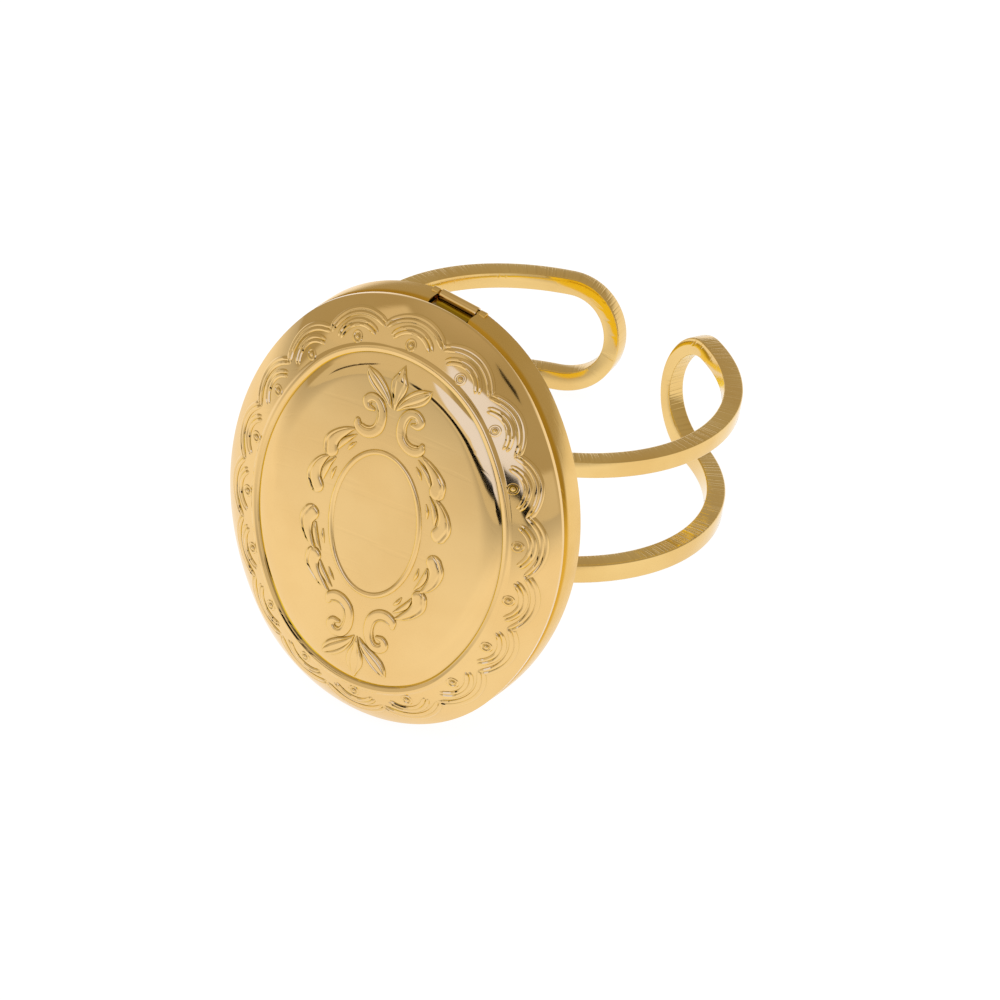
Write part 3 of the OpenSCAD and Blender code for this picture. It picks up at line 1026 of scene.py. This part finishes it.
@dataclass
class SlottedBand:
    """Band of two parallel bars that turn into each other in a loop at each side of the gap."""

    inner_r: float = 8.8
    thickness: float = 0.95
    bar_upper: float = 0.93
    bar_lower: float = 1.03
    right: LoopedEnd = LoopedEnd(2.62, -4.27, 2.95, 0.7, math.radians(14.2), 0.14)
    left: LoopedEnd = LoopedEnd(2.75, -3.6, 3.2, 0.92, math.radians(3.8))
    front_upper: float = 2.62
    front_lower: float = -4.15
    front_run: float = 8.5
    bevel: float = 0.08
    bevel_steps: int = 4
    side_margin: float = 0.02
    bar_steps: int = 150
    loop_steps: int = 72

    @property
    def outer_r(self) -> float:
        """Outer radius of the bent band."""
        return self.inner_r + self.thickness

    def half_outline(self, end: LoopedEnd) -> tuple[Array, Array]:
        """Outer and inner outline of one unrolled half, from its upper front end to its lower one.

        Args:
            end: The half's measures.

        Returns:
            Two rows of points: arc length from straight in front, and height along the finger.
        """
        low_end = end.lower + end.bend_up
        middle, half = (end.upper + low_end) / 2, (end.upper - low_end) / 2
        centre = (math.pi - end.tip_turn) * self.outer_r - end.depth
        bars = np.linspace(0, centre, self.bar_steps, endpoint=False)
        near = 0.5 + 0.5 * np.cos(math.pi * np.minimum(bars / self.front_run, 1))
        top = np.c_[bars, end.upper + (self.front_upper - end.upper) * near]
        low_z = end.lower + (self.front_lower - end.lower) * near
        bottom = np.c_[bars, low_z + end.bend_up * (bars / centre) ** 2][::-1]
        turns = np.linspace(math.pi / 2, -math.pi / 2, self.loop_steps)
        inner_half = half - np.where(turns > 0, self.bar_upper, self.bar_lower)
        loops = [np.c_[centre + depth * np.cos(turns), middle + height * np.sin(turns)]
                 for depth, height in ((end.depth, half), (end.depth - end.tip_w, inner_half))]
        outer = np.concatenate([top, loops[0], bottom])
        inner = np.concatenate([top - [0, self.bar_upper], loops[1],
                                bottom + [0, self.bar_lower]])
        return outer, inner

    def section(self) -> Array:
        """Bevelled square section, as shares across the wire and through its thickness."""
        soft = self.bevel / self.thickness
        corners = []
        for k, (x, y) in enumerate(((1, 1), (0, 1), (0, 0), (1, 0))):
            turns = np.linspace(0, math.pi / 2, self.bevel_steps) + k * math.pi / 2
            corners.append(np.c_[x + soft * (1 - 2 * x + np.cos(turns)),
                                 y + soft * (1 - 2 * y + np.sin(turns))])
        return np.concatenate(corners)

    def build(self, material: Material) -> Object:
        """Makes the band in place, with its path length kept for the cut marks."""
        outer, inner = (np.concatenate([right, (left * [-1, 1])[-2:0:-1]]) for right, left in
                        zip(self.half_outline(self.right), self.half_outline(self.left)))
        section = self.section()
        share, through = section.T
        places = inner[:, None] + (outer - inner)[:, None] * share[:, None]
        turn, radius = places[..., 0] / self.outer_r, self.inner_r + self.thickness * through
        points = np.stack([radius * np.sin(turn), places[..., 1], radius * np.cos(turn)], 2)
        total, count = len(outer), len(section)
        faces = tube(total, count) + ring_faces((total - 1) * count, 0, count)
        obj = new_mesh("slotted_band", points.reshape(-1, 3), faces)
        middle = (outer + inner) / 2
        run = np.cumsum(np.hypot(*np.diff(middle, axis=0, prepend=middle[:1]).T))
        store(obj, "run", np.repeat(np.abs(run - run[-1] / 2), count))
        sides = np.abs(share - 0.5) > np.abs(through - 0.5) - self.side_margin
        store(obj, "cut_side", np.tile(sides, total))
        outward(obj.data)
        finish_piece(obj, material, Body.RING, Slot.PLATE, "band_and_back_shell")
        return obj


@dataclass
class Solder:
    """Solder that joins each bar to the domed back, with a slightly wavy outline."""

    bars: Pair = (2.2, -3.65)
    half_length: float = 3.4
    half_width: float = 0.62
    half_depth: float = 0.34
    middle_z: float = 9.55
    long_wave: Pair = (0.06, 5.0)
    short_wave: Pair = (0.04, 9.0)
    droop: float = 0.045
    steps: tuple[int, int] = (48, 24)

    def ball(self) -> MeshData:
        """Ball of radius 1: rows of points from its top to its low end, and a point at either."""
        around, up = self.steps
        turns = full_turn(around)
        rows = [np.c_[math.sin(a) * np.cos(turns), math.sin(a) * np.sin(turns),
                      np.full(around, math.cos(a))]
                for a in np.linspace(0, math.pi, up + 1)[1:-1]]
        last, top = (len(rows) - 1) * around, len(rows) * around
        faces = tube(len(rows), around)
        for j in range(around):
            k = (j + 1) % around
            faces += [(k, j, top), (last + j, last + k, top + 1)]
        return np.concatenate([*rows, [(0, 0, 1), (0, 0, -1)]]), faces

    def build(self, material: Material) -> Object:
        """Makes both joints as soft flat lens shapes between bar and back."""
        (long_h, long_rate), (short_h, short_rate) = self.long_wave, self.short_wave
        ball, faces = self.ball()
        x, y, z = ball.T
        z = self.middle_z + z * self.half_depth - self.droop * (x * self.half_length) ** 2
        parts = []
        for bar in self.bars:
            wave = 1 + long_h * np.sin(long_rate * x + bar) + short_h * np.sin(short_rate * y)
            parts.append((np.c_[x * self.half_length * wave, bar + y * self.half_width * wave,
                                z], faces))
        obj = new_mesh("solder_joints", *joined(parts))
        outward(obj.data)
        finish_piece(obj, material, Body.RING, Slot.PLATE, "band_and_back_shell")
        return obj


@dataclass
class HingePin:
    """Pin through the three knuckles."""

    hinge: Hinge = field(default_factory=Hinge)

    def build(self, material: Material) -> Object:
        """Makes the pin in place."""
        half = self.hinge.pin_l / 2
        obj = new_mesh("hinge_pin_rod", *self.hinge.rod(-half, half, self.hinge.pin_r))
        outward(obj.data)
        finish_piece(obj, material, Body.RING, Slot.PIN, "hinge_pin")
        return obj


@dataclass(frozen=True)
class Wear:
    """Fine scratches, small pits and a haze on the plate.

    Pairs are the values between which a pattern fades in.
    """

    turns: tuple[float, ...] = (0.4, 1.3, 2.5)
    tip: float = 0.3
    lean: float = 0.5
    line_scale: Triple = (160, 5200, 900)
    lines: Pair = (0.66, 0.74)
    pit_scale: float = 620.0
    pit_edge: Pair = (0.03, 0.09)
    pit_chance: Pair = (0.86, 0.9)
    haze_scale: float = 260.0
    haze: Pair = (0.35, 0.7)

    def group(self) -> bpy.types.NodeTree:
        """Shader group that gives the three patterns as values, from object places."""
        n, given, result = new_group(
            "plate_wear", "ShaderNodeTree", {"Place": ("Vector", None)},
            {"Scratches": "Float", "Pits": "Float", "Haze": "Float"})
        place = given.outputs["Place"]
        for k, turn in enumerate(self.turns):
            turned = n.add("ShaderNodeMapping", {
                "Vector": place, "Rotation": (self.tip * k, self.lean, turn),
                "Scale": self.line_scale}).outputs[0]
            lines = n.ramp(n.noise(1.0, 1.0, {"Vector": turned}), *self.lines)
            scratches = lines if k == 0 else n.math("MAXIMUM", scratches, lines)
        cells = n.add("ShaderNodeTexVoronoi", {"Vector": place, "Scale": self.pit_scale}).outputs
        chance = n.add("ShaderNodeSeparateColor", {0: cells["Color"]}).outputs[0]
        pits = n.times(n.ramp(cells["Distance"], *self.pit_edge, 1, 0),
                       n.ramp(chance, *self.pit_chance))
        haze = n.ramp(n.noise(self.haze_scale, 4.0, {"Vector": place}), *self.haze)
        for label, value in (("Scratches", scratches), ("Pits", pits), ("Haze", haze)):
            n.tree.links.new(value, result.inputs[label])
        return n.tree


@dataclass(frozen=True)
class GoldFinish:
    """Polished gold plate with its own waviness, scratches and pits.

    The colour named mirrored is a painted reflection: the plate's as another piece of it mirrors
    it, deeper with each bounce, given to it in every ray that a glossy bounce sends. Creases that
    ambient occlusion finds, and the points that a mesh stores as shade, are painted shade: darkened
    towards the shade colour, which also tints the saw marks. The sizes wave, scratch, pit and saw
    are depths in metres.
    """

    name: str
    colour: Triple
    deep: Triple
    roughness: float
    roughness_spread: float
    wave: float
    wave_scale: float
    scratch: float
    pit: float
    # painted shade in creases: its strength, the occlusion's reach, the colour that shade and saw
    # marks tint towards, and the occlusion values over which it fades
    crease_shade: float = 0.7
    crease_shade_reach: float = 0.14 * MM
    shade_and_saw_colour: Triple = (0.26, 0.17, 0.07)
    crease_shade_open: Pair = (0.4, 0.95)
    saw: float = 0.0
    saw_tint: float = 0.0
    saw_scale: float = 6.0
    saw_lines: Pair = (0.45, 0.65)
    saw_patch_scale: float = 180.0
    saw_patches: Triple = (0.38, 0.6, 0.2)
    # painted reflection colour, which the plate takes where it is seen by a glossy bounce
    mirrored: Triple = (1.0, 0.8, 0.06)

    def saw_marks(self, n: Nodes, place: Socket) -> Socket:
        """Fine marks across the band's cut sides, by its path length; none on other meshes."""
        lines = n.noise(self.saw_scale, 2.0, {"W": n.stored("run")}, noise_dimensions="1D")
        patches = n.noise(self.saw_patch_scale, 1.0, {"Vector": place})
        marks = n.times(n.ramp(lines, *self.saw_lines), n.ramp(patches, *self.saw_patches))
        return n.times(marks, n.stored("cut_side"))

    def build(self, wear: bpy.types.NodeTree) -> Material:
        """Makes the node material.

        Args:
            wear: Group that gives the scratches, pits and haze.

        Returns:
            The material.
        """
        material = bpy.data.materials.new(self.name)
        n = fresh_nodes(material)
        place = n.add("ShaderNodeTexCoord").outputs["Object"]
        worn = n.add("ShaderNodeGroup", {"Place": place}, node_tree=wear).outputs
        marks = self.saw_marks(n, place)
        height = n.times(n.noise(self.wave_scale, 2.0, {"Vector": place}), self.wave)
        for value, depth in ((worn["Scratches"], self.scratch), (worn["Pits"], self.pit),
                             (marks, self.saw)):
            height = n.math("ADD", height, n.times(value, -depth))
        bump = n.add("ShaderNodeBump", {"Height": height, "Distance": 1.0, "Strength": 1.0})
        # painted reflection: in rays sent by a glossy bounce the plate takes the deeper mirrored
        # yellow
        seen_in_reflection = n.add("ShaderNodeLightPath").outputs["Is Glossy Ray"]
        tint = n.mix(seen_in_reflection, n.mix(worn["Haze"], self.colour, self.deep), self.mirrored)
        # painted shade: darker where ambient occlusion finds a crease and where the mesh stores
        # shade; the saw marks are tinted the same way
        open_side = n.add("ShaderNodeAmbientOcclusion", {"Distance": self.crease_shade_reach},
                          samples=6).outputs["AO"]
        hollow = n.math("MAXIMUM", n.ramp(open_side, *self.crease_shade_open, self.crease_shade, 0),
                        n.stored("shade"))
        hollow = n.math("MAXIMUM", hollow, n.times(marks, self.saw_tint))
        spread = n.times(worn["Haze"], self.roughness_spread)
        shader = n.add("ShaderNodeBsdfPrincipled", {
            "Base Color": n.mix(hollow, tint, self.shade_and_saw_colour), "Metallic": 1.0,
            "Roughness": n.math("ADD", spread, self.roughness), "Normal": bump.outputs[0]})
        n.add("ShaderNodeOutputMaterial", {"Surface": shader.outputs[0]})
        return material


POLISHED = GoldFinish(
    "polished_gold", colour=(0.82, 0.555, 0.235), deep=(0.79, 0.52, 0.21), roughness=0.05,
    roughness_spread=0.04, wave=3e-6, wave_scale=420.0, scratch=5e-7, pit=1.5e-5)
BRUSHED = GoldFinish(
    "brushed_gold", colour=(0.8, 0.53, 0.2), deep=(0.74, 0.47, 0.15), roughness=0.14,
    roughness_spread=0.1, wave=5e-6, wave_scale=600.0, scratch=3e-6, pit=8e-6, crease_shade=0.9,
    crease_shade_reach=0.5 * MM, shade_and_saw_colour=(0.66, 0.34, 0.02))
WIRE = GoldFinish(
    "wire_gold", colour=(0.81, 0.56, 0.22), deep=(0.76, 0.5, 0.18), roughness=0.07,
    roughness_spread=0.07, wave=5e-6, wave_scale=500.0, scratch=2e-6, pit=6e-6, crease_shade=0.5,
    crease_shade_reach=0.3 * MM, shade_and_saw_colour=(0.52, 0.34, 0.1), saw=1.4e-5, saw_tint=0.4)


@dataclass(frozen=True)
class Card:
    """Light or dark card round the table, by its direction from the ring.

    Angles are degrees, azimuths from -y towards +x. The edge is soft over so many degrees, and
    the middle rises by lean degrees with each degree of azimuth.
    """

    azimuth: float
    elevation: float
    half_azimuth: float
    half_elevation: float
    colour: Triple = (0.0, 0.0, 0.0)
    soft: float = 2.0
    lean: float = 0.0

    def mask(self, n: Nodes, turn: Socket, rise: Socket) -> Socket:
        """Share of the card in the direction with the given azimuth and elevation."""
        beside = n.math("SUBTRACT", turn, self.azimuth)
        middle = n.math("MULTIPLY_ADD", beside, self.lean, self.elevation)
        above = n.math("SUBTRACT", rise, middle)
        sides = ((beside, self.half_azimuth, self.soft),
                 (above, self.half_elevation, self.soft / 2))
        return n.times(*[n.ramp(n.math("ABSOLUTE", far), half - soft, half, 1, 0)
                         for far, half, soft in sides])


@dataclass
class Studio:
    """Plain pale floor, soft lights and the camera."""

    distance: float = 1.0
    azimuth: float = math.radians(34.21)
    elevation: float = math.radians(44.97)
    roll: float = math.radians(4.22)
    aim: Triple = (-0.174 * MM, 0.271 * MM, 3.721 * MM)
    lens: float = 729.7
    sensor: float = 36.0
    clip: Pair = (0.05, 20.0)
    floor_size: float = 3.0
    floor_tone: Pair = (0.09, 0.11)
    floor_glow: float = 0.97
    far_glow: float = 0.5
    far_from: float = 0.74
    seen_glow: float = 0.95
    sky: Triple = (0.5, 0.45, 0.33)
    zenith: Triple = (0.6, 0.55, 0.45)
    zenith_from: Pair = (50, 85)
    cards: tuple[Card, ...] = (
        Card(-30, 33, 40, 24, (0.8, 0.77, 0.7), 9.0),
        Card(0, 2, 62, 12, (0.76, 0.74, 0.68), 4.0),
        Card(12, 22.5, 22, 13, (0.98, 1.15, 2.0), 3.0, -0.22),
        Card(-6, 10.8, 13, 2.2, (0.9, 0.88, 0.85), 1.5, 0.05),
        Card(2, 6.5, 24, 2.6, soft=1.0, lean=0.05),
        Card(-16, 6.8, 5, 2.6, (0.04, 0.03, 0.02), 2.0),
        Card(29, 3.0, 5.5, 3.4, soft=1.0, lean=-0.5),
        Card(-41.5, 13, 7, 2.4, (0.06, 0.04, 0.02), 1.2, 1.1),
        Card(44, 47, 6, 4, soft=2.0, lean=-1.44),
    )
    key_power: float = 14.0
    key_size: float = 1.6
    key_height: float = 1.1

    def floor(self) -> None:
        """Plain pale floor under the ring."""
        half = self.floor_size / 2
        corners = np.array([(-half, -half, 0), (half, -half, 0), (half, half, 0), (-half, half, 0)])
        obj = new_mesh("floor", corners, [(0, 1, 2, 3)], smooth=False)
        material = bpy.data.materials.new("pale_floor")
        n = fresh_nodes(material)
        place = n.add("ShaderNodeTexCoord").outputs["Object"]
        tone = n.ramp(n.noise(60.0, 2.0, {"Vector": place}), 0.3, 0.7, *self.floor_tone)
        # the floor glows evenly to the camera; painted shade: in what the metal mirrors, its glow
        # dims from floor_glow towards far_glow at grazing angles
        facing = n.add("ShaderNodeLayerWeight", {"Blend": 0.5}).outputs["Facing"]
        mirrored = n.ramp(facing, self.far_from, 1.0, self.floor_glow, self.far_glow)
        seen = n.add("ShaderNodeLightPath").outputs["Is Camera Ray"]
        glow = n.add("ShaderNodeMix", {0: seen, 2: mirrored, 3: self.seen_glow}).outputs[0]
        shader = n.add("ShaderNodeBsdfPrincipled", {
            "Base Color": tone, "Roughness": 0.9, "Specular IOR Level": 0.0,
            "Emission Color": (1, 1, 1, 1), "Emission Strength": glow})
        n.add("ShaderNodeOutputMaterial", {"Surface": shader.outputs[0]})
        obj.data.materials.append(material)

    def key(self) -> None:
        """Large soft light overhead that the polished metal doesn't mirror."""
        data = bpy.data.lights.new("key", "AREA")
        data.size, data.energy = self.key_size, self.key_power
        obj = linked("key", data)
        obj.location = (0, 0, self.key_height)
        obj.visible_glossy = False

    def world(self) -> None:
        """Pale surroundings, with the cards that the metal mirrors."""
        world = bpy.data.worlds.new("studio")
        n = fresh_nodes(world)
        way = n.add("ShaderNodeTexCoord").outputs["Generated"]
        x, y, z = n.add("ShaderNodeSeparateXYZ", {0: way}).outputs
        angles = n.math("ARCTAN2", x, n.times(y, -1.0)), n.math("ARCSINE", z)
        turn, rise = (n.times(angle, math.degrees(1)) for angle in angles)
        colour = n.mix(n.ramp(rise, *self.zenith_from), self.sky, self.zenith)
        for card in self.cards:
            colour = n.mix(card.mask(n, turn, rise), colour, card.colour)
        seen = n.add("ShaderNodeLightPath").outputs["Is Camera Ray"]
        back = n.add("ShaderNodeBackground", {"Color": n.mix(seen, colour, (1, 1, 1)),
                                              "Strength": 1.0})
        n.add("ShaderNodeOutputWorld", {"Surface": back.outputs[0]})
        bpy.context.scene.world = world

    def camera(self) -> None:
        """Camera at the photograph's angle."""
        level = math.cos(self.elevation)
        toward = Vector((math.sin(self.azimuth) * level, -math.cos(self.azimuth) * level,
                         math.sin(self.elevation)))
        right = Vector((0, 0, 1)).cross(toward).normalized()
        up = toward.cross(right)
        x = right * math.cos(self.roll) - up * math.sin(self.roll)
        y = right * math.sin(self.roll) + up * math.cos(self.roll)
        data = bpy.data.cameras.new("camera")
        data.lens, data.sensor_width = self.lens, self.sensor
        data.clip_start, data.clip_end = self.clip
        obj = linked("camera", data)
        turn = Matrix((x, y, toward)).transposed().to_4x4()
        obj.matrix_world = Matrix.Translation(Vector(self.aim) + toward * self.distance) @ turn
        bpy.context.scene.camera = obj

    def build(self) -> None:
        """Makes the floor, the surroundings and the camera."""
        self.floor()
        self.key()
        self.world()
        self.camera()
        bpy.context.scene.view_settings.view_transform = "Standard"


def main() -> None:
    """Builds the ring's pieces in order, then the studio."""
    logging.basicConfig(level=logging.INFO, format="%(message)s")
    wear = Wear().group()
    polished, brushed, wire = (finish.build(wear) for finish in (POLISHED, BRUSHED, WIRE))
    FrontCover().build(polished)
    BackShell().build(brushed)
    SlottedBand().build(wire)
    Solder().build(wire)
    HingePin().build(wire)
    Studio().build()


if __name__ == "__main__":
    main()
